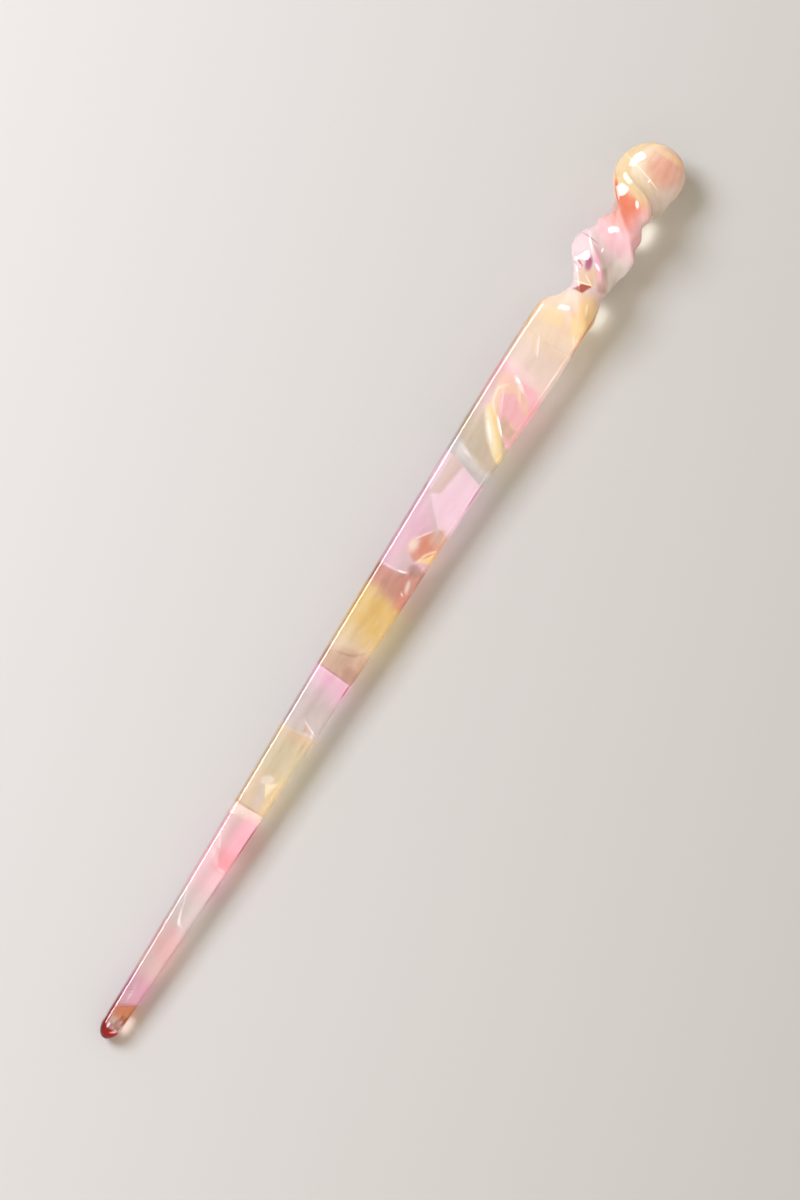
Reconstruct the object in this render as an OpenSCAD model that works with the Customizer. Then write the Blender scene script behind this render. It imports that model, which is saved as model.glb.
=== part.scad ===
// Hair stick of marbled cellulose acetate, all one fused and polished piece.
// A flat blade tapers to a round tip. At the head the same bar, thicker and rounder, is twisted one
// full turn and ends in a round knob. The stick lies as it rests by itself, on its tip and on the
// narrow side of the bar that is turned down behind the second neck. +X runs from the tip to the
// knob and +Z is up. The origin is below the middle of the stick, on the surface that it lies on.

/* [Blade] */
// Length of the flat blade, from the end of the tip to where the twist begins
blade_len = 145; // [120:1:170]
// Width of the blade at the tip
tip_w = 3.4; // [2.8:0.1:4.5]
// Width of the blade where the twist begins
blade_w = 9.9; // [8:0.1:11]
// Thickness of the blade
blade_t = 4; // [3.4:0.1:4.6]
// Radius of the rounded long edges of the blade
edge_r = 0.85; // [0.5:0.05:1.1]

/* [Head] */
// Length of the twisted head, with the knob
head_len = 35; // [30:0.5:42]
// How far the head is twisted from the blade to the knob, in degrees
head_turn = 360; // [300:10:400]
// Width of the twisted bar at the first neck, across its two narrow sides
neck_w = 9.2; // [8.6:0.1:9.8]
// Thickness of the twisted bar at the first neck
neck_t = 5.9; // [5:0.1:6.6]
// Width of the lobe between the two necks
lobe_w = 10.1; // [9.4:0.1:10.8]
// Thickness of the lobe between the two necks
lobe_t = 7; // [6:0.1:7.6]
// Width of the bar where it stands on its narrow side, behind the second neck
foot_w = 11.2; // [10.8:0.1:11.8]
// Thickness of the bar where it stands on its narrow side
foot_t = 6.9; // [6.2:0.1:7.4]
// Width of the knob
knob_w = 12; // [11:0.1:13.5]
// Thickness of the knob
knob_t = 7.2; // [6.2:0.1:8]

/* [Hidden] */

stick_len = blade_len + head_len;
tip_round = tip_w * 0.8;    // length of the rounded end of the tip
knob_round = knob_w / 2;    // length of the rounded end of the knob
twist_from = blade_len * 0.975;

// Cross-sections along the stick, one row each, with these columns:
AT = 0;     // place along the stick, from the end of the tip
WIDE = 1;   // width, across the narrow sides of the bar
THICK = 2;  // thickness, between the broad faces of the bar
ROUND = 3;  // 0 is a bar with edges of radius edge_r, 1 is an ellipse
TURN = 4;   // how far the section is twisted, as a part of head_turn
SIDE = 5;   // how far the middle of the section lies beside the straight line
SECTIONS = [
    [0,                          tip_w,          blade_t * 0.92, 0.30, 0,     0.2],
    [blade_len * 0.12,           tip_w + 0.8,    blade_t * 0.98, 0,    0,     0],
    [blade_len * 0.53,           blade_w * 0.72, blade_t,        0,    0,     0],
    [blade_len * 0.75,           blade_w * 0.85, blade_t,        0,    0,     -0.05],
    [blade_len * 0.90,           blade_w * 0.97, blade_t,        0,    0,     -0.3],
    [twist_from,                 blade_w,        blade_t * 1.08, 0.1,  0,     -0.45],
    [blade_len + head_len * .03, blade_w * 0.99, blade_t * 1.22, 0.3,  0.022, -0.6],
    [blade_len + head_len * .11, neck_w * 0.98,  neck_t * 0.92,  0.6,  0.165, -1.45],
    [blade_len + head_len * .19, neck_w,         neck_t,         0.5,  0.25,  -1.65],
    [blade_len + head_len * .26, lobe_w * 0.92,  lobe_t * 1.06,  0.4,  0.286, -1.2],
    [blade_len + head_len * .32, lobe_w * 0.975, lobe_t * 1.11,  0.45, 0.336, -0.45],
    [blade_len + head_len * .39, lobe_w,         lobe_t,         0.3,  0.43,  -0.45],
    [blade_len + head_len * .44, lobe_w,         lobe_t * 0.93,  0.3,  0.485, -0.6],
    [blade_len + head_len * .50, lobe_w * 0.8,   lobe_t * 0.82,  0.5,  0.555, -0.85],
    [blade_len + head_len * .58, foot_w * 0.89,  foot_t * 0.74,  0.5,  0.722, -0.85],
    [blade_len + head_len * .64, foot_w,         foot_t,         0.1,  0.763, -0.9],
    [blade_len + head_len * .71, knob_w * 0.91,  knob_t * 1.2,   0.5,  0.818, -0.3],
    [blade_len + head_len * .77, knob_w * 1.01,  knob_t * 1.1,   0.9,  0.93,  -0.1],
    [blade_len + head_len * .84, knob_w,         knob_t,         1,    0.98,  -0.3],
    [stick_len,                  knob_w,         knob_t,         1,    1,     -0.6],
];

// Slope of a column at row i, from the rows on both sides of it
function slope(col, i) =
    let (a = SECTIONS[max(i - 1, 0)], b = SECTIONS[min(i + 1, len(SECTIONS) - 1)])
    (b[col] - a[col]) / (b[AT] - a[AT]);

// Number of the last row that lies before x
function row_before(x, i = 0) =
    i + 2 < len(SECTIONS) && SECTIONS[i + 1][AT] <= x ? row_before(x, i + 1) : i;

// Value of a column at x, on a smooth curve through its rows
function value(col, x) =
    let (i = row_before(x), a = SECTIONS[i], b = SECTIONS[i + 1],
         gap = b[AT] - a[AT], u = (x - a[AT]) / gap, s = 3 * u * u - 2 * u * u * u)
    a[col] * (1 - s) + b[col] * s
    + gap * u * (1 - u) * (slope(col, i) * (1 - u) - slope(col, i + 1) * u);

// Part of the full section that is left at x, where an end is rounded off
function end_round(x) =
    let (from_tip = 1 - x / tip_round, from_knob = 1 - (stick_len - x) / knob_round,
         in = max(0, from_tip, from_knob))
    sqrt(1 - in * in);

corner_steps = 6;   // steps round each corner of a section
broad_steps = 5;    // steps across each broad face
narrow_steps = 2;   // steps up each narrow side

// Points of a bar of half width a and half thickness b with edges of radius r, counter-clockwise
function bar_points(a, b, r) =
    let (mids = [[a - r, b - r], [r - a, b - r], [r - a, r - b], [a - r, r - b]],
         arcs = [for (q = [0 : 3]) [for (k = [0 : corner_steps])
             let (dir = 90 * (q + k / corner_steps)) mids[q] + r * [cos(dir), sin(dir)]]])
    [for (q = [0 : 3])
        let (from = arcs[q][corner_steps], to = arcs[(q + 1) % 4][0],
             steps = q % 2 == 0 ? broad_steps : narrow_steps)
        each concat(arcs[q], [for (k = [1 : steps - 1]) from + (to - from) * k / steps])];

// One section at x, part of the way from the bar to an ellipse, as points [across, up]
function section(x) =
    let (a = value(WIDE, x) / 2 * end_round(x), b = value(THICK, x) / 2 * end_round(x),
         round = value(ROUND, x), r = min(edge_r, a * 0.98, b * 0.98))
    [for (p = bar_points(a, b, r))
        let (dir = [p[0] / a, p[1] / b], n = dir / norm(dir))
        p * (1 - round) + [a * n[0], b * n[1]] * round];

// The same section twisted, in its place along the stick
function ring(x) =
    let (turn = -head_turn * value(TURN, x), side = value(SIDE, x))
    [for (p = section(x))
        [x, side + p[0] * cos(turn) - p[1] * sin(turn), p[0] * sin(turn) + p[1] * cos(turn)]];

// Places of the rings: close together where the ends round off and where the bar is twisted
tip_steps = 6;
blade_steps = 14;
head_steps = 60;
knob_steps = 9;
head_step = (stick_len - knob_round - twist_from) / head_steps;
places = concat(
    [for (k = [1 : tip_steps]) tip_round * (1 - cos(90 * k / tip_steps))],
    [for (k = [1 : blade_steps]) tip_round + (twist_from - tip_round) * k / blade_steps],
    [for (k = [1 : head_steps]) twist_from + head_step * k],
    [for (k = [1 : knob_steps - 1]) stick_len - knob_round * (1 - sin(90 * k / knob_steps))]);

// The stick with its line straight and level: the end of the tip, the rings, the end of the knob
level_points = concat(
    [[0, value(SIDE, 0), 0]],
    [for (x = places) each ring(x)],
    [[stick_len, value(SIDE, stick_len), 0]]);

// A point after the stick is rolled about its own line and then tilted with its head up
function laid(p, tilt, roll) =
    let (y = p[1] * cos(roll) - p[2] * sin(roll), z = p[1] * sin(roll) + p[2] * cos(roll))
    [p[0] * cos(tilt) - z * sin(tilt), y, p[0] * sin(tilt) + z * cos(tilt)];

// Behind the second neck the narrow side of the bar is turned down, and its two edges are the feet
// of the head: this far apart, on either side of this line
feet_apart = 3;
feet_mid = value(SIDE, blade_len + head_len * .64);

// Lowest of the laid points of the tip, and of the head on the left (1) or right (-1) of its feet
function low_tip(pose) =
    min([for (p = level_points) if (p[0] < blade_len / 2) laid(p, pose[0], pose[1])[2]]);
function low_foot(pose, hand) =
    min([for (p = level_points) let (q = laid(p, pose[0], pose[1]))
        if (p[0] > blade_len && hand * (q[1] - feet_mid) >= 0) q[2]]);

// Tilt and roll at which the tip and both feet touch the surface together, found in a few tries
function rest_pose(pose = [0, 0], tries = 10) =
    tries == 0 ? pose
    : let (tip = low_tip(pose), left = low_foot(pose, 1), right = low_foot(pose, -1))
      rest_pose(pose + [asin((tip - min(left, right)) / blade_len),
                        asin((right - left) / feet_apart) / 2], tries - 1);

resting = let (pose = rest_pose()) [for (p = level_points) laid(p, pose[0], pose[1])];
lowest = [for (k = [0 : 2]) min([for (p = resting) p[k]])];
highest = [for (k = [0 : 2]) max([for (p = resting) p[k]])];
origin = [(lowest[0] + highest[0]) / 2, (lowest[1] + highest[1]) / 2, lowest[2]];

// Triangles: a fan at each end, and two in each step round each pair of rings
ring_len = len(ring(places[0]));
knob_end = len(resting) - 1;
faces = concat(
    [for (j = [0 : ring_len - 1]) [0, 1 + j, 1 + (j + 1) % ring_len]],
    [for (i = [0 : len(places) - 2]) for (j = [0 : ring_len - 1])
        let (a = 1 + i * ring_len + j, b = 1 + i * ring_len + (j + 1) % ring_len)
        each [[a, a + ring_len, b], [b, a + ring_len, b + ring_len]]],
    [for (j = [0 : ring_len - 1])
        [knob_end, knob_end - ring_len + (j + 1) % ring_len, knob_end - ring_len + j]]);

// The whole stick: tip, blade, twisted necks and lobe, and knob, fused in one piece
module stick() {
    color("#f2c9c4")
        translate(-origin)
            polyhedron(points = resting, faces = faces, convexity = 6);
}

stick();
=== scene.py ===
import math
import bmesh
import bpy
from mathutils import Matrix, Vector


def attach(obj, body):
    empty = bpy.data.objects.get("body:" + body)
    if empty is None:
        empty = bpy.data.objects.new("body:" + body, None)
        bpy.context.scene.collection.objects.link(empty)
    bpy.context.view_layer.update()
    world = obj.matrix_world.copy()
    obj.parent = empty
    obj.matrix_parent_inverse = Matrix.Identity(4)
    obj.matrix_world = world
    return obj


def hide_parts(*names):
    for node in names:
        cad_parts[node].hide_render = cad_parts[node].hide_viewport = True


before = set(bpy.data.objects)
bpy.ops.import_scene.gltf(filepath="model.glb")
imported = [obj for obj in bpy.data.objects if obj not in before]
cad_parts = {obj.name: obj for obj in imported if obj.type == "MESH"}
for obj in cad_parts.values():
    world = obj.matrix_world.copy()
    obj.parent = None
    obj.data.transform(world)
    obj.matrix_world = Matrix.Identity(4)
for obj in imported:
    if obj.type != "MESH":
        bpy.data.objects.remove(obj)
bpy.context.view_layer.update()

# The stick is one bar of marbled cellulose acetate. The blade is cut flat and tapers to a round tip,
# and the head was heated, twisted one full turn, drawn in at two necks and polished, with a round
# knob at its end. Its skin is drawn out ring by ring, and keeps where it was before the twist.
mm = 0.001
blade_len = 145
blade_w = 9.9
blade_t = 4
tip_w = 3.4
edge_r = 0.85
head_len = 35
neck_w = 9.2
neck_t = 5.9
lobe_w = 10.1
lobe_t = 7
foot_w = 11.2
foot_t = 6.9
knob_w = 12
knob_t = 7.2
full_turn = math.radians(360)
stick_len = blade_len + head_len
twist_from = blade_len * 0.975
tip_round = tip_w * 0.8
knob_round = knob_w / 2

# The head rests at foot_at, behind the second neck, on two edges of the bar that are feet_apart
foot_at = blade_len + head_len * 0.64
feet_apart = 3

# Cross-sections: place along the stick, width, thickness, 0 for a bar to 1 for an ellipse, part of
# the full turn, and how far the middle lies beside the straight line
AT, WIDE, THICK, ROUND, TURN, SIDE = range(6)
sections = [
    (0, tip_w, blade_t * 0.92, 0.3, 0, 0.2),
    (blade_len * 0.12, tip_w + 0.8, blade_t * 0.98, 0, 0, 0),
    (blade_len * 0.53, blade_w * 0.72, blade_t, 0, 0, 0),
    (blade_len * 0.75, blade_w * 0.85, blade_t, 0, 0, -0.05),
    (blade_len * 0.90, blade_w * 0.97, blade_t, 0, 0, -0.3),
    (twist_from, blade_w, blade_t * 1.08, 0.1, 0, -0.45),
    (blade_len + head_len * 0.03, blade_w * 0.99, blade_t * 1.22, 0.3, 0.022, -0.6),
    (blade_len + head_len * 0.11, neck_w * 0.98, neck_t * 0.92, 0.6, 0.165, -1.45),
    (blade_len + head_len * 0.19, neck_w, neck_t, 0.5, 0.25, -1.65),
    (blade_len + head_len * 0.26, lobe_w * 0.92, lobe_t * 1.06, 0.4, 0.286, -1.2),
    (blade_len + head_len * 0.32, lobe_w * 0.975, lobe_t * 1.11, 0.45, 0.336, -0.45),
    (blade_len + head_len * 0.39, lobe_w, lobe_t, 0.3, 0.43, -0.45),
    (blade_len + head_len * 0.44, lobe_w, lobe_t * 0.93, 0.3, 0.485, -0.6),
    (blade_len + head_len * 0.50, lobe_w * 0.8, lobe_t * 0.82, 0.5, 0.555, -0.85),
    (blade_len + head_len * 0.58, foot_w * 0.89, foot_t * 0.74, 0.5, 0.722, -0.85),
    (foot_at, foot_w, foot_t, 0.1, 0.763, -0.9),
    (blade_len + head_len * 0.71, knob_w * 0.91, knob_t * 1.2, 0.5, 0.818, -0.3),
    (blade_len + head_len * 0.77, knob_w * 1.01, knob_t * 1.1, 0.9, 0.93, -0.1),
    (blade_len + head_len * 0.84, knob_w, knob_t, 1, 0.98, -0.3),
    (stick_len, knob_w, knob_t, 1, 1, -0.6),
]

# Points round a section: four corners with the broad and narrow sides between them. An edge is
# rounded to no more than fullest_edge of the half width or half thickness.
fullest_edge = 0.98
corner_steps = 10
broad_steps = 10
narrow_steps = 5
corners = [(1, 1), (-1, 1), (-1, -1), (1, -1)]
stations = [(quarter, step) for quarter in range(4)
            for step in range(corner_steps + (broad_steps if quarter % 2 == 0 else narrow_steps))]

# Rings along the stick, closer together from shortly before the twist on
tip_rings = 20
blade_rings = 90
head_rings = 260
close_from = blade_len * 0.9
knob_rings = 32


def value(column, x):
    """A column of the sections at x, on a smooth curve through the rows."""
    rows = len(sections)
    i = max(k for k in range(rows - 1) if sections[k][AT] <= max(x, 0))
    a, b = sections[i], sections[i + 1]

    def slope(k):
        before, after = sections[max(k - 1, 0)], sections[min(k + 1, rows - 1)]
        return (after[column] - before[column]) / (after[AT] - before[AT])

    gap = b[AT] - a[AT]
    u = (x - a[AT]) / gap
    ease = 3 * u * u - 2 * u * u * u
    bulge = gap * u * (1 - u) * (slope(i) * (1 - u) - slope(i + 1) * u)
    return a[column] * (1 - ease) + b[column] * ease + bulge


def section_point(a, b, r, roundness, station):
    """Point of a section with half width a, half thickness b and edge radius r, and how far it is
    round the edge: 0 on a broad face, 1 on a narrow side."""
    quarter, step = station
    corner = Vector((corners[quarter][0] * (a - r), corners[quarter][1] * (b - r)))
    if step <= corner_steps:
        turn = math.radians(90 * (quarter + step / corner_steps))
        point = corner + r * Vector((math.cos(turn), math.sin(turn)))
        round_edge = abs(math.cos(turn))
    else:
        after = corners[(quarter + 1) % 4]
        steps = broad_steps if quarter % 2 == 0 else narrow_steps
        turn = math.radians(90 * (quarter + 1))
        outward = r * Vector((math.cos(turn), math.sin(turn)))
        end = Vector((after[0] * (a - r), after[1] * (b - r))) + outward
        point = (corner + outward).lerp(end, (step - corner_steps) / steps)
        round_edge = abs(math.cos(turn))
    direction = Vector((point.x / a, point.y / b)).normalized()
    return point.lerp(Vector((a * direction.x, b * direction.y)), roundness), round_edge


def ring_places():
    """Places of the rings, closer together where the ends round off and where the bar is twisted."""
    def ending(k, steps):
        return 1 - math.cos(math.radians(90 * k / steps))

    knob_from = stick_len - knob_round
    places = [tip_round * ending(k, tip_rings) for k in range(1, tip_rings + 1)]
    places += [tip_round + (close_from - tip_round) * k / blade_rings for k in range(1, blade_rings + 1)]
    places += [close_from + (knob_from - close_from) * k / head_rings for k in range(1, head_rings + 1)]
    return places + [stick_len - knob_round * ending(k, knob_rings) for k in range(knob_rings - 1, 0, -1)]


def end_round(x):
    """Part of the full section that is left at x, where an end is rounded off."""
    inward = max(0, 1 - x / tip_round, 1 - (stick_len - x) / knob_round)
    return math.sqrt(max(0, 1 - inward * inward))


def bar_point(x, station):
    """A point of the twisted bar, the same point before the twist, and how far round the edge it is."""
    left = end_round(x)
    a, b = value(WIDE, x) / 2 * left, value(THICK, x) / 2 * left
    r = min(edge_r, a * fullest_edge, b * fullest_edge)
    flat, round_edge = section_point(a, b, r, value(ROUND, x), station)
    turned = Matrix.Rotation(-full_turn * value(TURN, x), 2) @ flat
    return Vector((x, value(SIDE, x) + turned.x, turned.y)), Vector((x, flat.x, flat.y)), round_edge


def laid(p, tilt, roll):
    """A point of the level stick when the stick is rolled and tilted."""
    y = p.y * math.cos(roll) - p.z * math.sin(roll)
    z = p.y * math.sin(roll) + p.z * math.cos(roll)
    x = p.x * math.cos(tilt) - z * math.sin(tilt)
    return Vector((x, y, p.x * math.sin(tilt) + z * math.cos(tilt)))


def lying(points):
    """The tilt and roll at which the stick lies on its tip and, behind the second neck, on the two
    edges of the narrow side that is turned down, found in a few tries."""
    tilt = roll = 0.0
    tries = 10
    feet_mid = value(SIDE, foot_at)
    for _ in range(tries):
        down = [(p.x, laid(p, tilt, roll)) for p in points]
        tip = min(q.z for x, q in down if x < blade_len / 2)
        left = min(q.z for x, q in down if x > blade_len and q.y >= feet_mid)
        right = min(q.z for x, q in down if x > blade_len and q.y <= feet_mid)
        tilt += math.asin((tip - min(left, right)) / blade_len)
        roll += math.asin((right - left) / feet_apart) / 2
    return tilt, roll


def drawn_out_bar():
    """The skin as a bmesh, drawn out from one ring, level and in millimetres. Each point keeps its
    place in the bar before the twist, and how far round the edge it is."""
    bm = bmesh.new()
    before_twist = bm.verts.layers.float_vector.new("bar")
    edge = bm.verts.layers.float.new("edge")
    places = ring_places()
    bmesh.ops.create_circle(bm, cap_ends=False, segments=len(stations), radius=1)
    bm.verts.ensure_lookup_table()

    def shape(ring, x):
        for vert, station in zip(ring, stations):
            vert.co, vert[before_twist], vert[edge] = bar_point(x, station)

    ring, rim = list(bm.verts), list(bm.edges)
    first_rim = rim
    shape(ring, places[0])
    for x in places[1:]:
        index = {vert: k for k, vert in enumerate(ring)}
        grown = bmesh.ops.extrude_edge_only(bm, edges=rim)["geom"]
        rim = [g for g in grown if isinstance(g, bmesh.types.BMEdge) and g.is_boundary]
        next_ring = [None] * len(ring)
        for vert in (g for g in grown if isinstance(g, bmesh.types.BMVert)):
            below = next(e.other_vert(vert) for e in vert.link_edges if e.other_vert(vert) in index)
            next_ring[index[below]] = vert
        ring = next_ring
        shape(ring, x)
    for last_rim, x in ((first_rim, 0), (rim, stick_len)):
        grown = bmesh.ops.extrude_edge_only(bm, edges=last_rim)["geom"]
        cap = [g for g in grown if isinstance(g, bmesh.types.BMVert)]
        for vert in cap:
            vert[before_twist] = Vector((x, 0, 0))
        bmesh.ops.pointmerge(bm, verts=cap, merge_co=Vector((x, value(SIDE, x), 0)))
    return bm


def lay_down(bm):
    """Matrix from the level bar in millimetres to the stick where it lies, in metres."""
    tilt, roll = lying([vert.co for vert in bm.verts])
    turn = Matrix.Rotation(-tilt, 4, "Y") @ Matrix.Rotation(roll, 4, "X")
    places = [turn @ vert.co for vert in bm.verts]
    low = Vector([min(p[k] for p in places) for k in range(3)])
    high = Vector([max(p[k] for p in places) for k in range(3)])
    foot = Vector(((low.x + high.x) / 2, (low.y + high.y) / 2, low.z))
    return Matrix.Scale(mm, 4) @ Matrix.Translation(-foot) @ turn


def piece(name, bm, material):
    """A smooth object of the bmesh, which rides on the stick's one body."""
    bmesh.ops.recalc_face_normals(bm, faces=bm.faces)
    for face in bm.faces:
        face.smooth = True
    mesh = bpy.data.meshes.new(name)
    bm.to_mesh(mesh)
    bm.free()
    mesh.materials.append(material)
    made = bpy.data.objects.new(name, mesh)
    bpy.context.collection.objects.link(made)
    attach(made, "root")
    return made


def node(tree, kind, *given, **settings):
    """A shader node whose first inputs are given, as values or as sockets to link."""
    made = tree.nodes.new("ShaderNode" + kind)
    for name, setting in settings.items():
        setattr(made, name, setting)
    for slot, source in zip(made.inputs, given):
        if isinstance(source, bpy.types.NodeSocket):
            tree.links.new(source, slot)
        elif source is not None:
            slot.default_value = source
    return made


def calc(tree, operation, *given):
    """The result of a Math node."""
    return node(tree, "Math", *given, operation=operation).outputs[0]


def soft_step(tree, amount, low, high, most=1.0):
    """0 below low, the most above high, and smooth between them."""
    step = node(tree, "MapRange", amount, low, high, 0.0, most, interpolation_type="SMOOTHSTEP")
    return step.outputs[0]


# Numbers of the sockets for colours on a Mix node
UNDER, UPPER, MIXED = 6, 7, 2


def over(tree, under, upper, share):
    """One colour laid over another by a share."""
    mix = node(tree, "Mix", share, data_type="RGBA")
    for slot, colour in ((UNDER, under), (UPPER, upper)):
        if isinstance(colour, bpy.types.NodeSocket):
            tree.links.new(colour, mix.inputs[slot])
        else:
            mix.inputs[slot].default_value = (*colour, 1)
    return mix.outputs[MIXED]


def reach(tree, place, direction, start):
    """How far a place, given as (x, y, 1), lies beyond a start in a direction."""
    towards = (direction[0], direction[1], -start)
    return node(tree, "VectorMath", place, towards, operation="DOT_PRODUCT").outputs["Value"]


def oval(tree, place, middle, size, angle, soft, share):
    """The share inside an oval of those half sizes and 0 outside it, with a soft or a sharp rim."""
    turned = Matrix.Rotation(math.radians(angle), 2)
    axes = [turned.col[k] / size[k] for k in (0, 1)]
    along, across = [reach(tree, place, axis, axis.dot(Vector(middle))) for axis in axes]
    squares = calc(tree, "MULTIPLY_ADD", along, along, calc(tree, "MULTIPLY", across, across))
    return soft_step(tree, squares, (1 + soft) ** 2, (1 - soft) ** 2, share)


def shard(tree, place, corners, soft, share):
    """The share inside a shard, whose corners are listed clockwise from above, and 0 outside it."""
    inside = None
    for (x, y), (next_x, next_y) in zip(corners, corners[1:] + corners[:1]):
        inward = Vector((next_y - y, x - next_x)).normalized()
        depth = reach(tree, place, inward, inward.dot(Vector((x, y))))
        side = soft_step(tree, depth, -soft, soft, share if inside is None else 1.0)
        inside = side if inside is None else calc(tree, "MULTIPLY", inside, side)
    return inside


# Colours of the acetate. The palest are milky, and the rest clear. Pearl and ivory also give the white of
# the painted highlights and glints, and shell some painted light.
acetates = {
    "crimson": (0.40, 0.00, 0.00),
    "wine": (0.45, 0.10, 0.05),
    "plum": (0.50, 0.20, 0.30),
    "cocoa": (0.50, 0.30, 0.25),
    "rosewood": (0.65, 0.35, 0.30),
    "burnt": (0.70, 0.25, 0.15),
    "terracotta": (0.75, 0.40, 0.30),
    "flame": (0.85, 0.40, 0.30),
    "amber": (0.65, 0.30, 0.15),
    "honey": (0.80, 0.60, 0.30),
    "dark gold": (0.80, 0.55, 0.20),
    "gold": (0.95, 0.75, 0.40),
    "moss": (0.60, 0.50, 0.30),
    "sage": (0.65, 0.55, 0.45),
    "olive": (0.75, 0.65, 0.50),
    "resin": (0.85, 0.75, 0.55),
    "butter": (0.85, 0.70, 0.55),
    "tan": (0.80, 0.65, 0.50),
    "apricot": (0.90, 0.65, 0.50),
    "clay": (0.70, 0.50, 0.40),
    "tea": (0.70, 0.50, 0.45),
    "taupe": (0.70, 0.55, 0.50),
    "mist": (0.65, 0.60, 0.60),
    "rosewater": (0.70, 0.60, 0.60),
    "haze": (0.75, 0.65, 0.65),
    "petal": (0.80, 0.70, 0.70),
    "blush": (0.80, 0.60, 0.60),
    "cream": (0.85, 0.70, 0.65),
    "peach": (0.95, 0.80, 0.75),
    "lilac": (0.75, 0.45, 0.55),
    "bloom": (0.80, 0.55, 0.65),
    "pink": (0.90, 0.65, 0.70),
    "rose": (0.90, 0.70, 0.80),
    "orchid": (0.90, 0.60, 0.75),
    "candy": (0.95, 0.55, 0.65),
    "coral": (0.90, 0.55, 0.60),
    "salmon": (0.90, 0.45, 0.50),
    "shell": (1.00, 0.75, 0.80),
    "ivory": (1.00, 0.90, 0.70),
    "pearl": (1.00, 0.95, 0.95),
}

# Blocks that the sheet was laid up from, behind the one at the tip: where each begins in the middle
# of the bar, how far its joint slants for each millimetre across and bows for the square of it, how
# soft the joint is, and its acetate. A joint wanders by up to half of joint_drift times its softness.
tip_block = "crimson"
joint_drift = 2.5
blocks = [
    (2.1, 0.00, 0.30, 0.20, "tea"),
    (4.4, 0.10, -0.10, 0.80, "amber"),
    (6.8, -0.70, 0.00, 0.06, "lilac"),
    (12.4, 0.20, 0.00, 2.20, "blush"),
    (22.6, 0.35, 0.00, 1.60, "haze"),
    (30.0, -0.30, 0.00, 3.00, "pink"),
    (44.6, -0.12, 0.00, 0.10, "peach"),
    (46.5, -0.05, 0.00, 0.08, "tan"),
    (53.4, 0.20, 0.00, 1.20, "olive"),
    (60.0, 0.10, 0.00, 1.40, "tan"),
    (62.1, -0.05, 0.02, 0.06, "rosewater"),
    (70.5, 0.10, 0.00, 2.80, "orchid"),
    (73.7, 0.05, 0.00, 0.05, "clay"),
    (78.4, -0.25, 0.00, 1.00, "tan"),
    (81.2, 0.20, 0.00, 3.00, "honey"),
    (89.6, 0.25, 0.00, 1.50, "rosewood"),
    (94.4, -0.33, 0.07, 0.06, "bloom"),
    (105.6, 1.05, 0.00, 0.45, "rose"),
    (115.2, 0.30, 0.00, 0.15, "mist"),
    (117.5, 0.40, 0.05, 0.25, "sage"),
    (124.7, 0.70, 0.00, 0.30, "coral"),
    (133.0, 0.36, 0.00, 0.12, "cream"),
    (140.0, -0.30, 0.00, 4.50, "butter"),
    (150.2, -0.20, 0.00, 0.80, "petal"),
    (165.6, 0.10, 0.00, 1.60, "flame"),
    (166.9, 0.40, 0.00, 1.60, "resin"),
]
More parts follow.
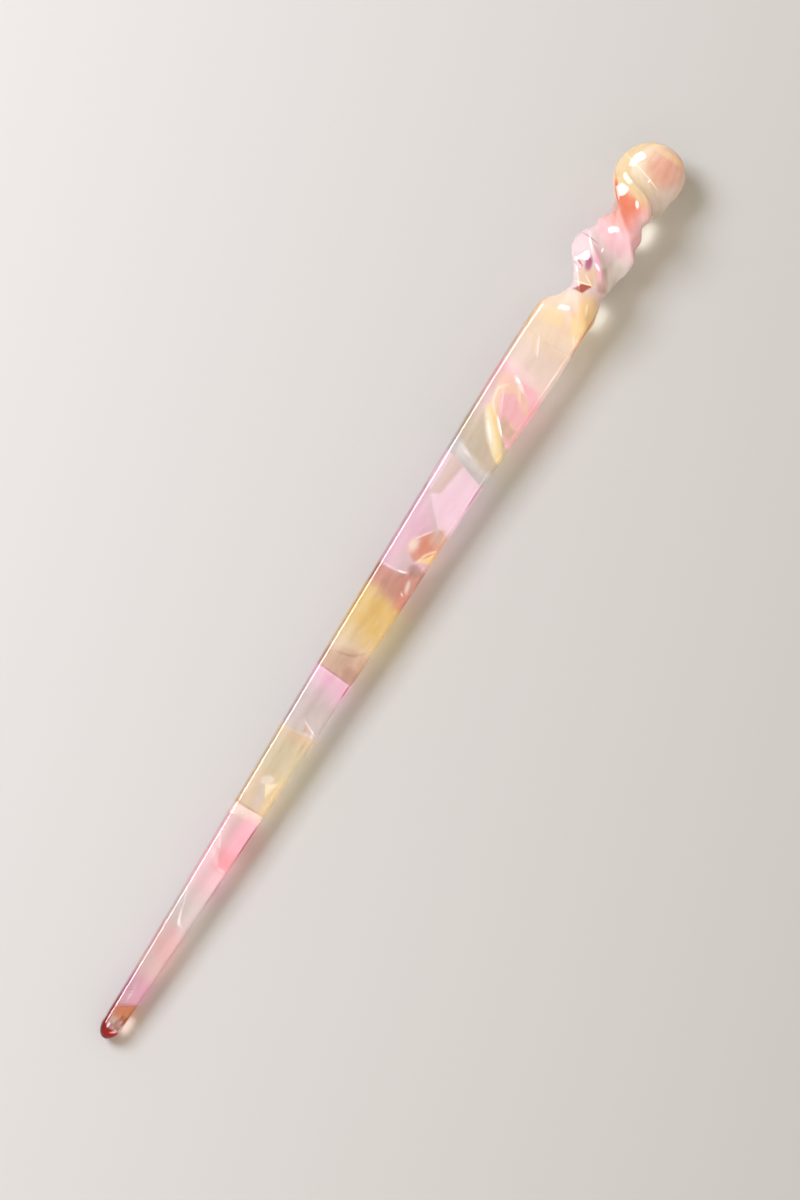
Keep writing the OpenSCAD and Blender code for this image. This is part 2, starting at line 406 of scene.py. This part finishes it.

# Ovals of another acetate inside the blocks, and one of painted light: middle along and across, half
# length and half width, angle in degrees, softness of the rim, share and acetate. Like the shards and
# streaks after them, they are charted as they are seen from above, in millimetres from the tip and from
# the middle line.
ovals = [
    (4.4, 1.50, 0.9, 0.40, 0, 0.4, 0.8, "salmon"),
    (2.55, 0.45, 0.50, 0.42, 0, 0.3, 0.8, "plum"),
    (5.6, 0.20, 0.8, 0.75, 0, 0.8, 0.7, "burnt"),
    (19.7, -0.30, 2.4, 1.10, 0, 0.9, 0.25, "salmon"),
    (37.0, -0.90, 1.8, 1.20, 0, 0.9, 1.0, "salmon"),
    (41.8, -1.20, 3.0, 1.40, 0, 0.7, 0.9, "candy"),
    (42.3, 1.10, 2.4, 1.00, 0, 0.5, 0.6, "blush"),
    (36.7, 0.90, 1.7, 0.50, 42, 0.5, 0.7, "shell"),
    (50.2, -2.10, 3.2, 0.45, 0, 0.8, 0.4, "gold"),
    (60.8, 0.00, 0.9, 1.60, 0, 0.8, 0.12, "amber"),
    (74.8, -2.00, 1.0, 0.90, 0, 0.9, 0.6, "cocoa"),
    (84.0, 0.20, 1.2, 2.20, 0, 0.6, 0.4, "dark gold"),
    (87.2, -0.60, 1.3, 2.20, 0, 0.6, 0.5, "dark gold"),
    (90.4, -2.80, 1.3, 0.50, 0, 0.9, 0.5, "flame"),
    (96.6, 0.30, 2.0, 1.30, 0, 0.6, 0.6, "haze"),
    (95.9, -2.20, 0.9, 1.10, 0, 0.5, 0.7, "cocoa"),
    (116.9, -0.60, 0.70, 3.20, -12, 0.9, 0.2, "pearl"),
    (118.8, -2.60, 1.6, 1.00, 0, 0.8, 0.4, "taupe"),
    (128.6, 3.30, 4.2, 1.00, 0, 0.6, 0.8, "blush"),
    (124.8, -2.60, 1.3, 1.40, 0, 0.3, 0.8, "clay"),
    (131.6, 1.80, 1.6, 1.60, 0, 0.4, 0.6, "apricot"),
    (134.0, 0.40, 1.0, 3.00, -12, 0.9, 0.4, "shell"),
    (145.0, 1.20, 1.3, 2.00, 0, 0.5, 0.5, "gold"),
    (147.3, -3.30, 3.0, 1.30, 12, 0.7, 0.8, "gold"),
    (152.3, -3.00, 2.0, 1.10, 0, 0.8, 0.25, "clay"),
    (153.9, -0.20, 1.5, 1.50, 0, 0.6, 1.0, "tan"),
    (155.8, 1.10, 1.1, 0.50, 22, 0.6, 1.0, "plum"),
    (157.5, -4.20, 3.2, 1.10, 0, 0.9, 0.6, "pearl"),
    (162.8, -1.20, 2.4, 3.00, -20, 0.95, 0.6, "salmon"),
    # Painted light: a pale shell oval that lightens the shaded lower side of the second neck
    (164.8, -3.00, 2.4, 1.30, 30, 0.9, 0.9, "shell"),
    (166.2, 1.40, 1.9, 2.60, -25, 0.9, 0.7, "flame"),
    (171.8, -4.50, 5.8, 1.90, 0, 0.9, 0.8, "petal"),
    (176.2, -1.40, 2.4, 2.20, 0, 0.95, 0.9, "terracotta"),
]

# Shards of another acetate, by their corners, with the softness of the sides, share and acetate
shards = [
    ([(47.0, 0.2), (50.0, 0.7), (51.9, 1.1), (51.5, 0.0), (49.5, -1.3), (47.2, -1.4)], 0.25, 0.7, "haze"),
    ([(49.5, -1.2), (51.5, 0.0), (52.9, -1.8)], 0.08, 0.9, "ivory"),
    ([(51.5, 1.1), (52.6, 1.1), (53.3, 0.2), (53.2, -0.9), (52.6, -0.9), (51.5, 0.0)], 0.20, 0.5, "pearl"),
    ([(62.2, 0.6), (64.2, 1.2), (64.4, 0.0), (63.4, -2.2), (62.5, -2.4)], 0.15, 0.6, "petal"),
    ([(62.6, -0.5), (63.8, -0.4), (63.3, -1.9), (62.8, -1.9)], 0.12, 0.8, "clay"),
    ([(98.2, 0.8), (99.1, 1.4), (99.9, 1.3), (103.0, -1.0), (104.2, -2.4), (103.4, -3.6), (100.2, -3.7),
      (97.2, -1.2)], 0.25, 0.9, "terracotta"),
    ([(97.2, -1.6), (98.6, -1.9), (100.6, -3.4), (98.4, -3.9)], 0.22, 0.9, "gold"),
    ([(108.4, 3.0), (116.8, 3.0), (115.3, 0.3), (109.3, 1.2)], 0.30, 0.9, "taupe"),
    ([(125.9, 0.9), (127.4, 2.2), (129.8, 2.7), (131.2, 1.6), (132.4, -0.6), (129.0, -4.2), (125.2, -4.0)],
     0.12, 0.9, "apricot"),
    ([(125.9, 0.0), (129.6, 1.2), (130.6, -0.6), (128.2, -4.2), (125.4, -4.2)], 0.28, 1.0, "coral"),
    ([(132.6, 0.6), (132.9, -0.2), (132.7, -3.9), (129.9, -3.9), (131.3, -1.5)], 0.12, 0.9, "candy"),
    ([(150.8, 0.9), (152.2, 0.2), (152.9, -1.6), (150.9, -0.7)], 0.20, 0.9, "wine"),
    ([(152.4, -2.8), (155.9, -1.0), (156.6, -2.0), (153.0, -4.3)], 0.40, 0.5, "cocoa"),
    ([(153.9, 1.9), (154.8, 3.2), (155.5, 2.9), (154.9, 1.7)], 0.18, 1.0, "crimson"),
]

# Streaks, and glints that are painted highlights: from a place, to a place, half width, softness, share
# and acetate
streaks = [
    ((0.6, 1.35), (7.2, 1.75), 0.28, 0.4, 0.9, "crimson"),
    ((5.0, 1.72), (11.5, 1.84), 0.14, 0.5, 0.6, "plum"),
    ((1.7, -0.35), (2.5, -1.35), 0.16, 0.5, 0.8, "shell"),
    ((2.4, -1.30), (3.6, -1.35), 0.16, 0.5, 0.8, "pearl"),
    # Painted highlight: the glint inside the ring near the tip
    ((2.2, 0.80), (2.9, 0.80), 0.18, 0.4, 0.9, "pearl"),
    ((6.15, 0.95), (7.85, -1.45), 0.10, 0.5, 0.7, "plum"),
    ((8.2, 0.35), (10.2, 0.35), 0.20, 0.7, 0.5, "pearl"),
    ((9.0, 0.90), (9.7, 0.15), 0.10, 0.5, 0.6, "plum"),
    ((9.7, 0.85), (10.3, 0.05), 0.10, 0.5, 0.6, "plum"),
    ((7.6, -1.88), (14.5, -1.98), 0.10, 0.5, 0.5, "plum"),
    ((14.0, -1.90), (20.0, -2.05), 0.10, 0.5, 0.6, "salmon"),
    ((23.3, -0.90), (24.0, 0.20), 0.22, 0.9, 0.35, "pearl"),
    ((23.6, -0.10), (25.4, 0.60), 0.18, 0.9, 0.4, "pearl"),
    ((24.6, 0.35), (28.8, 1.50), 0.18, 0.9, 0.3, "pearl"),
    ((35.1, -0.70), (35.1, -2.20), 0.10, 0.6, 0.6, "pearl"),
    ((38.0, 0.80), (40.3, 2.00), 0.20, 0.9, 0.35, "pearl"),
    ((28.8, -2.30), (34.2, -2.42), 0.12, 0.5, 0.9, "plum"),
    ((34.0, -2.42), (38.4, -2.52), 0.14, 0.5, 0.8, "salmon"),
    ((38.0, -2.52), (44.8, -2.68), 0.14, 0.5, 0.9, "crimson"),
    ((46.65, 2.70), (46.65, -2.70), 0.10, 0.5, 0.6, "cocoa"),
    ((57.5, 0.95), (59.3, 0.90), 0.16, 0.7, 0.6, "moss"),
    ((59.0, -2.00), (60.8, -2.00), 0.18, 0.7, 0.6, "moss"),
    ((62.0, 0.60), (62.6, -2.40), 0.16, 0.9, 0.25, "pearl"),
    ((62.5, -2.45), (63.5, -1.95), 0.22, 0.9, 0.3, "pearl"),
    ((63.3, -2.10), (64.5, 0.20), 0.14, 0.9, 0.4, "pearl"),
    ((73.50, 3.00), (73.30, -3.00), 0.14, 0.6, 0.6, "shell"),
    ((73.95, 3.10), (73.60, -3.10), 0.09, 0.5, 0.7, "plum"),
    ((71.0, -3.05), (73.4, -3.10), 0.12, 0.5, 0.9, "crimson"),
    ((77.3, 1.40), (78.0, -0.90), 0.12, 0.7, 0.6, "cocoa"),
    ((77.9, -0.70), (79.2, -2.30), 0.12, 0.7, 0.5, "cocoa"),
    # Painted glints in the rose-brown block
    ((92.4, -2.70), (93.5, -2.40), 0.26, 0.9, 0.6, "pearl"),
    ((91.2, -2.55), (91.5, -2.25), 0.10, 0.6, 0.8, "pearl"),
    ((94.35, 2.80), (94.60, -0.30), 0.14, 0.9, 0.35, "pearl"),
    # Painted glint on the joint
    ((94.60, 0.10), (94.90, -1.10), 0.20, 0.8, 0.6, "pearl"),
    ((94.70, -1.00), (96.60, -3.20), 0.10, 0.6, 0.6, "cocoa"),
    # Painted highlight: the bright top of the nodule, with an ivory core
    ((99.2, 0.45), (100.1, 0.45), 0.65, 0.9, 0.8, "peach"),
    ((99.4, 0.55), (99.8, 0.50), 0.40, 0.9, 0.5, "ivory"),
    ((99.9, -1.60), (101.0, -1.50), 0.80, 0.9, 0.6, "burnt"),
    ((102.6, -2.50), (103.0, -2.50), 1.00, 0.9, 0.7, "clay"),
    # Painted glints along the gold curl
    ((97.3, -1.60), (99.2, -2.35), 0.13, 0.5, 0.9, "ivory"),
    ((98.9, -2.05), (100.6, -3.30), 0.12, 0.5, 0.9, "ivory"),
    ((98.4, -2.20), (100.1, -3.20), 0.10, 0.5, 0.8, "burnt"),
    ((100.9, 0.60), (103.3, -1.10), 0.12, 0.6, 0.6, "pearl"),
    ((108.0, 2.60), (104.0, -1.30), 0.34, 0.9, 0.6, "rosewater"),
    ((95.5, -3.45), (103.8, -3.70), 0.12, 0.5, 0.9, "dark gold"),
    ((110.0, -3.90), (114.6, -4.00), 0.14, 0.5, 0.9, "plum"),
    ((118.3, 2.60), (117.3, 0.20), 0.30, 0.9, 0.3, "pearl"),
    ((126.0, 1.55), (119.6, -3.90), 1.05, 0.14, 1.0, "gold"),
    ((124.9, 1.30), (120.6, -2.60), 0.60, 0.7, 0.9, "ivory"),
    # Painted highlight: the bright core of the gold crescent
    ((123.9, 0.90), (121.6, -1.00), 0.38, 0.9, 0.5, "pearl"),
    ((125.7, 0.05), (123.3, -2.30), 0.20, 0.5, 0.9, "pearl"),
    ((123.9, -3.40), (125.5, -1.60), 0.65, 0.7, 0.8, "clay"),
    ((126.0, 0.80), (127.8, 2.20), 0.18, 0.6, 0.8, "ivory"),
    ((127.2, 2.00), (130.2, 2.60), 0.18, 0.6, 0.8, "ivory"),
    ((129.7, 2.60), (131.3, 1.40), 0.16, 0.6, 0.6, "ivory"),
    ((126.4, -0.20), (130.0, 1.60), 0.16, 0.6, 0.9, "shell"),
    # Painted glints in the pink shard
    ((132.8, 0.60), (131.5, -1.60), 0.28, 0.9, 0.6, "pearl"),
    ((132.8, 0.50), (132.6, 0.10), 0.22, 0.6, 1.0, "pearl"),
    ((129.4, -2.20), (131.9, -0.30), 0.14, 0.6, 0.8, "ivory"),
    ((132.3, -1.00), (128.8, -4.20), 0.12, 0.6, 0.7, "apricot"),
    ((134.3, 3.60), (133.1, 0.40), 0.12, 0.6, 0.7, "shell"),
    ((126.5, -4.30), (133.0, -4.55), 0.14, 0.5, 0.9, "salmon"),
    ((138.0, -0.10), (140.6, 1.20), 0.20, 0.8, 0.5, "pearl"),
    # Painted glint near the lower edge
    ((143.0, -4.20), (143.8, -3.80), 0.20, 0.7, 0.8, "ivory"),
    ((141.5, -5.20), (148.0, -4.90), 0.14, 0.5, 0.9, "burnt"),
    # Painted glint: reflection of a second light at the blade end
    ((148.1, -3.20), (149.5, -2.60), 0.20, 0.5, 0.9, "ivory"),
    ((152.1, 1.40), (152.8, -1.45), 0.12, 0.5, 0.9, "ivory"),
    ((152.7, -1.45), (153.7, 0.30), 0.10, 0.6, 0.7, "ivory"),
    ((154.6, -1.80), (158.4, 1.30), 0.40, 0.5, 0.9, "candy"),
    # Painted glint on the first ridge
    ((155.7, -0.90), (156.2, -0.10), 0.20, 0.5, 0.9, "pearl"),
    ((159.75, 4.10), (159.45, 1.60), 0.10, 0.5, 0.7, "plum"),
    # Painted glint on the lobe
    ((158.7, 0.20), (159.1, 0.30), 0.16, 0.5, 0.9, "pearl"),
    ((165.6, 1.60), (170.0, 4.40), 0.24, 0.6, 0.7, "burnt"),
    ((172.6, -2.00), (173.3, 0.00), 0.13, 0.5, 0.9, "ivory"),
    ((173.2, -0.30), (174.9, 5.30), 0.13, 0.5, 0.9, "ivory"),
    # Painted glints on the knob and the second neck
    ((172.8, -0.20), (173.2, -0.25), 0.14, 0.5, 1.0, "pearl"),
    ((168.1, -0.70), (168.7, -0.25), 0.28, 0.5, 0.9, "pearl"),
    ((178.7, 1.60), (178.4, -3.20), 0.45, 0.9, 0.5, "gold"),
]


def marbled(tree, bar, seen, drift):
    """The acetate at a place in the bar before the twist, with the inclusions, the painted highlights and
    some painted light where they are seen.
    """
    along, across, _ = node(tree, "SeparateXYZ", bar).outputs
    acetate = acetates[tip_block]
    for start, slant, bow, soft, name in blocks:
        bent = calc(tree, "MULTIPLY_ADD", across, -bow, -slant)
        straight = calc(tree, "MULTIPLY_ADD", across, bent, along)
        front = calc(tree, "MULTIPLY_ADD", drift, joint_drift * soft, straight)
        beyond = soft_step(tree, front, start - soft, start + soft)
        acetate = over(tree, acetate, acetates[name], beyond)
    for x, y, length, width, angle, soft, share, name in ovals:
        inside = oval(tree, seen, (x, y), (length, width), angle, soft, share)
        acetate = over(tree, acetate, acetates[name], inside)
    for corners, soft, share, name in shards:
        inside = shard(tree, seen, corners, soft, share)
        acetate = over(tree, acetate, acetates[name], inside)
    for (x, y), (end_x, end_y), width, soft, share, name in streaks:
        length = math.hypot(end_x - x, end_y - y) / 2
        angle = math.degrees(math.atan2(end_y - y, end_x - x))
        middle = ((x + end_x) / 2, (y + end_y) / 2)
        inside = oval(tree, seen, middle, (length + width, width), angle, soft, share)
        acetate = over(tree, acetate, acetates[name], inside)
    return acetate


# An acetate is milky where the lowest of its red, green and blue is at least milky_from, and clear
# where it is at most clear_to. These shares of the light pass through it.
clear_to = 0.68
milky_from = 0.95
clear_share = 0.84
milky_share = 0.25

# The round edges of the blade are painted deeper in colour, as painted shade for the longer way light
# comes through them. Towards the light, from lit_from to lit_to across the bar, they are painted deeper
# still, as painted shade that follows the light.
painted_rim_depth = 0.8
more_on_lit_side = 1.0
lit_from = -1.0
lit_to = 1.0

# From head_from to head_to along the bar, the clearness and the painted deep edges fade to these parts
head_from = 137.0
head_to = 150.0
clear_left = 0.45
rim_left = 0.4

# Clouds that move the joints, and a fine cloudiness that was drawn out along the bar and makes the
# colour weaker or stronger
cloud_scale = 0.35
cloud_detail = 2.0
veil_scale = 0.9
veil_detail = 3.0
veil_drawn = (0.3, 1.0, 1.0)
veil_low = 0.35
veil_high = 0.65
weakest = 0.88
strongest = 1.14


def marbled_acetate(lies):
    """Clear to milky, glossy acetate, with painted shade that makes it deeper in colour round the edges of
    the bar. It is given the matrix from the level bar to the stick where it lies."""
    material = bpy.data.materials.new("marbled_acetate")
    material.use_nodes = True
    tree = material.node_tree
    shader = tree.nodes["Principled BSDF"]
    bar = node(tree, "Attribute", attribute_name="bar").outputs["Vector"]
    edge = node(tree, "Attribute", attribute_name="edge").outputs["Fac"]
    charted = node(tree, "Mapping", node(tree, "TexCoord").outputs["Object"], lies.to_translation(),
                   lies.to_euler(), (mm, mm, mm), vector_type="TEXTURE").outputs[0]
    x, y, _ = node(tree, "SeparateXYZ", charted).outputs
    seen = node(tree, "CombineXYZ", x, y, 1.0).outputs[0]
    clouds = node(tree, "TexNoise", bar, None, cloud_scale, cloud_detail, noise_dimensions="3D")
    drift = calc(tree, "SUBTRACT", clouds.outputs[0], 0.5)
    colour = marbled(tree, bar, seen, drift)
    red, green, blue = node(tree, "SeparateColor", colour).outputs
    palest = calc(tree, "MINIMUM", calc(tree, "MINIMUM", red, green), blue)
    clear = node(tree, "MapRange", palest, clear_to, milky_from, clear_share, milky_share).outputs[0]
    along, across, _ = node(tree, "SeparateXYZ", bar).outputs
    clear_part = node(tree, "MapRange", along, head_from, head_to, 1.0, clear_left).outputs[0]
    rim_part = node(tree, "MapRange", along, head_from, head_to, 1.0, rim_left).outputs[0]
    clear = calc(tree, "MULTIPLY", clear, clear_part)
    # Painted shade: the edges are painted deeper in colour, and deeper still on the side towards the light
    lit_side = soft_step(tree, across, lit_from, lit_to)
    deep = calc(tree, "MULTIPLY_ADD", lit_side, more_on_lit_side, painted_rim_depth)
    rim = calc(tree, "MULTIPLY", calc(tree, "MULTIPLY", edge, edge), rim_part)
    drawn = node(tree, "VectorMath", bar, veil_drawn, operation="MULTIPLY").outputs[0]
    veil = node(tree, "TexNoise", drawn, None, veil_scale, veil_detail, noise_dimensions="3D")
    strong = node(tree, "MapRange", veil.outputs[0], veil_low, veil_high, weakest, strongest).outputs[0]
    # The depth holds the painted shade of the edges together with the cloudiness of the acetate
    depth = calc(tree, "MULTIPLY_ADD", rim, deep, strong)
    tree.links.new(node(tree, "Gamma", colour, depth).outputs[0], shader.inputs["Base Color"])
    tree.links.new(clear, shader.inputs["Transmission Weight"])
    shader.inputs["Roughness"].default_value = 0.02
    shader.inputs["IOR"].default_value = 1.48
    return material


skin_mesh = drawn_out_bar()
lies = lay_down(skin_mesh)
bmesh.ops.transform(skin_mesh, matrix=lies, verts=skin_mesh.verts)
skin = piece("stick_skin", skin_mesh, marbled_acetate(lies))
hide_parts("stick")

# The stick lies on a plain sheet of pale, warm grey paper. It is painted a little darker towards the right
# of the picture, a painted falloff of the light, and is evenly so beyond fade_width on either side of the
# middle.
half_paper = 3.0
paper_left = (0.53, 0.535, 0.515)
paper_right = (0.44, 0.445, 0.415)
picture_right = (0.534, -0.846, 0)
fade_width = 0.07
paper_sheet = bmesh.new()
bmesh.ops.create_grid(paper_sheet, x_segments=1, y_segments=1, size=half_paper)
floor_mesh = bpy.data.meshes.new("floor")
paper_sheet.to_mesh(floor_mesh)
paper_sheet.free()
floor = bpy.data.objects.new("floor", floor_mesh)
bpy.context.collection.objects.link(floor)
paper = bpy.data.materials.new("paper")
paper.use_nodes = True
paper_shader = paper.node_tree.nodes["Principled BSDF"]
paper_place = node(paper.node_tree, "TexCoord").outputs["Object"]
# Painted falloff of the light: the paper fades from paper_left to paper_right across the picture
to_right = node(paper.node_tree, "VectorMath", paper_place, picture_right, operation="DOT_PRODUCT")
shade = node(paper.node_tree, "MapRange", to_right.outputs["Value"], -fade_width, fade_width)
painted_falloff_paper = over(paper.node_tree, paper_left, paper_right, shade.outputs[0])
paper.node_tree.links.new(painted_falloff_paper, paper_shader.inputs["Base Color"])
paper_shader.inputs["Roughness"].default_value = 0.9
paper_shader.inputs["Specular IOR Level"].default_value = 0.2
floor_mesh.materials.append(paper)

# Warm, even light from all round, a cooler key light on the left of the stick that throws its
# shadow, and a window on the same side that is there only for the gloss to reflect
scene = bpy.context.scene
world = bpy.data.worlds.new("studio")
scene.world = world
world.use_nodes = True
all_round = world.node_tree.nodes["Background"]
all_round.inputs["Color"].default_value = (1, 0.90, 0.74, 1)
all_round.inputs["Strength"].default_value = 0.77
light_distance = 1.2


def softbox(name, azimuth, elevation, width, height, power, colour=(1, 1, 1)):
    """A light that faces the stick, from an azimuth and an elevation in degrees."""
    light = bpy.data.lights.new(name, "AREA")
    light.shape = "RECTANGLE"
    light.size = width
    light.size_y = height
    light.energy = power
    light.color = colour
    lamp = bpy.data.objects.new(name, light)
    bpy.context.collection.objects.link(lamp)
    side, up = math.radians(azimuth), math.radians(elevation)
    towards = Vector((math.cos(up) * math.cos(side), math.cos(up) * math.sin(side), math.sin(up)))
    lamp.location = towards * light_distance
    lamp.rotation_euler = towards.to_track_quat("Z", "Y").to_euler()
    return lamp


key = softbox("key", azimuth=80, elevation=45, width=0.55, height=0.55, power=18,
              colour=(0.86, 0.84, 1))
key.visible_glossy = False
window = softbox("window", azimuth=72, elevation=38, width=1.5, height=0.62, power=58)
window.visible_diffuse = False
window.visible_transmission = False


# Clear acetate lets most of the light through onto the paper that it lies on, and its rounded
# edges gather more of it in bright spots beside the tip and the necks. Sheets of light that face
# the paper stand for both, because rays for shadows don't pass through acetate here.
below_tint = (0.92, 1, 0.96)
spot_tint = (1, 0.95, 0.9)
head_tint = (1, 0.62, 0.52)

# Sheets below the stick, in millimetres: how far they lie inside its right and left edges, how much
# more so on the left for each millimetre that the stick is clear of the paper, and the limits of
# their height. The bright line lies just outside their right border, and ends at line_to.
inside_right = 0.5
inside_left = 0.7
more_inside = 0.12
least_height = 0.02
most_height = 0.4
line_width = 0.25
line_outside = 0.1
line_level = 1.6
line_to = 140


def let_through(name, middle, length, width, height, level, shape="RECTANGLE", tint=below_tint):
    """A sheet of light just above the paper, lighting it about as well as the level says."""
    light = bpy.data.lights.new(name, "AREA")
    light.shape = shape
    light.size = length
    light.size_y = width
    light.energy = level * math.pi * length * width
    light.color = tint
    sheet = bpy.data.objects.new(name, light)
    bpy.context.collection.objects.link(sheet)
    sheet.location = (*middle, height)
    sheet.visible_camera = False
    sheet.visible_glossy = False
    sheet.visible_transmission = False


def light_below(start, length, level):
    """Sheets below a stretch of the stick: one a little narrower than the stick, and a bright, narrow
    one where its right edge gathers the light."""
    rings = []
    for x in (start, start + length / 2, start + length):
        rings.append([lies @ bar_point(x, station)[0] for station in stations])
    right = max(min(point.y for point in ring) for ring in rings)
    left = min(max(point.y for point in ring) for ring in rings)
    clear = min(point.z for ring in rings for point in ring)
    middle = sum(point.x for point in rings[1]) / len(stations)
    height = min(max(clear / 2, least_height * mm), most_height * mm)
    right += inside_right * mm
    left -= inside_left * mm + more_inside * clear
    place = (middle, (left + right) / 2)
    let_through(f"below_{start:.0f}", place, length * mm, left - right, height, level)
    if start < line_to:
        place = (middle, right - line_outside * mm)
        let_through(f"below_edge_{start:.0f}", place, length * mm, line_width * mm, height / 2, line_level)


# Stretches of the stick with sheets below them: where the first sheet begins, the length of each,
# their number and their level. The sheets are short where the outline of the stick changes quickly.
stretches = [
    (1, 3, 4, 1.15),
    (13, 12, 11, 1.06),
    (145, 1.5, 23, 0.95),
]
for first, length, count, level in stretches:
    for k in range(count):
        light_below(first + length * k, length, level)

# Light gathered beside the stick: where along and across, length, width and height of the sheet in
# millimetres, level and tint. Beside the head it is a faint, wide blush.
spots = [
    ("beside_tip", (3.6, -2.2), 3.4, 1.2, 0.8, 1.3, spot_tint),
    ("beside_first_neck", (149.3, -5.7), 4.8, 2.4, 1.2, 1.35, spot_tint),
    ("beside_second_neck", (165.6, -5.0), 5.2, 2.6, 1.2, 1.55, spot_tint),
    ("beside_head", (152.0, -8.6), 46, 6, 3.0, 0.14, head_tint),
]
for name, (along, across), length, width, height, level, tint in spots:
    place = lies @ Vector((along, across, 0))
    let_through(name, (place.x, place.y), length * mm, width * mm, height * mm, level, "ELLIPSE", tint)

# The camera looks straight down on the middle of the stick, turned so that the stick runs up to the
# right. At the height of the stick, the long side of its picture takes in picture_length.
picture_middle = (0.0004, -0.0025)
picture_length = 0.2044
picture_turn = -57.75
camera_above = 0.75
stick_height = 0.005
sensor = 36
camera = bpy.data.objects.new("camera", bpy.data.cameras.new("camera"))
bpy.context.collection.objects.link(camera)
scene.camera = camera
camera.location = (*picture_middle, camera_above + stick_height)
camera.rotation_euler = (0, 0, math.radians(picture_turn))
camera.data.lens = sensor * camera_above / picture_length
camera.data.sensor_width = sensor
camera.data.clip_end = 20
scene.view_settings.view_transform = "Standard"
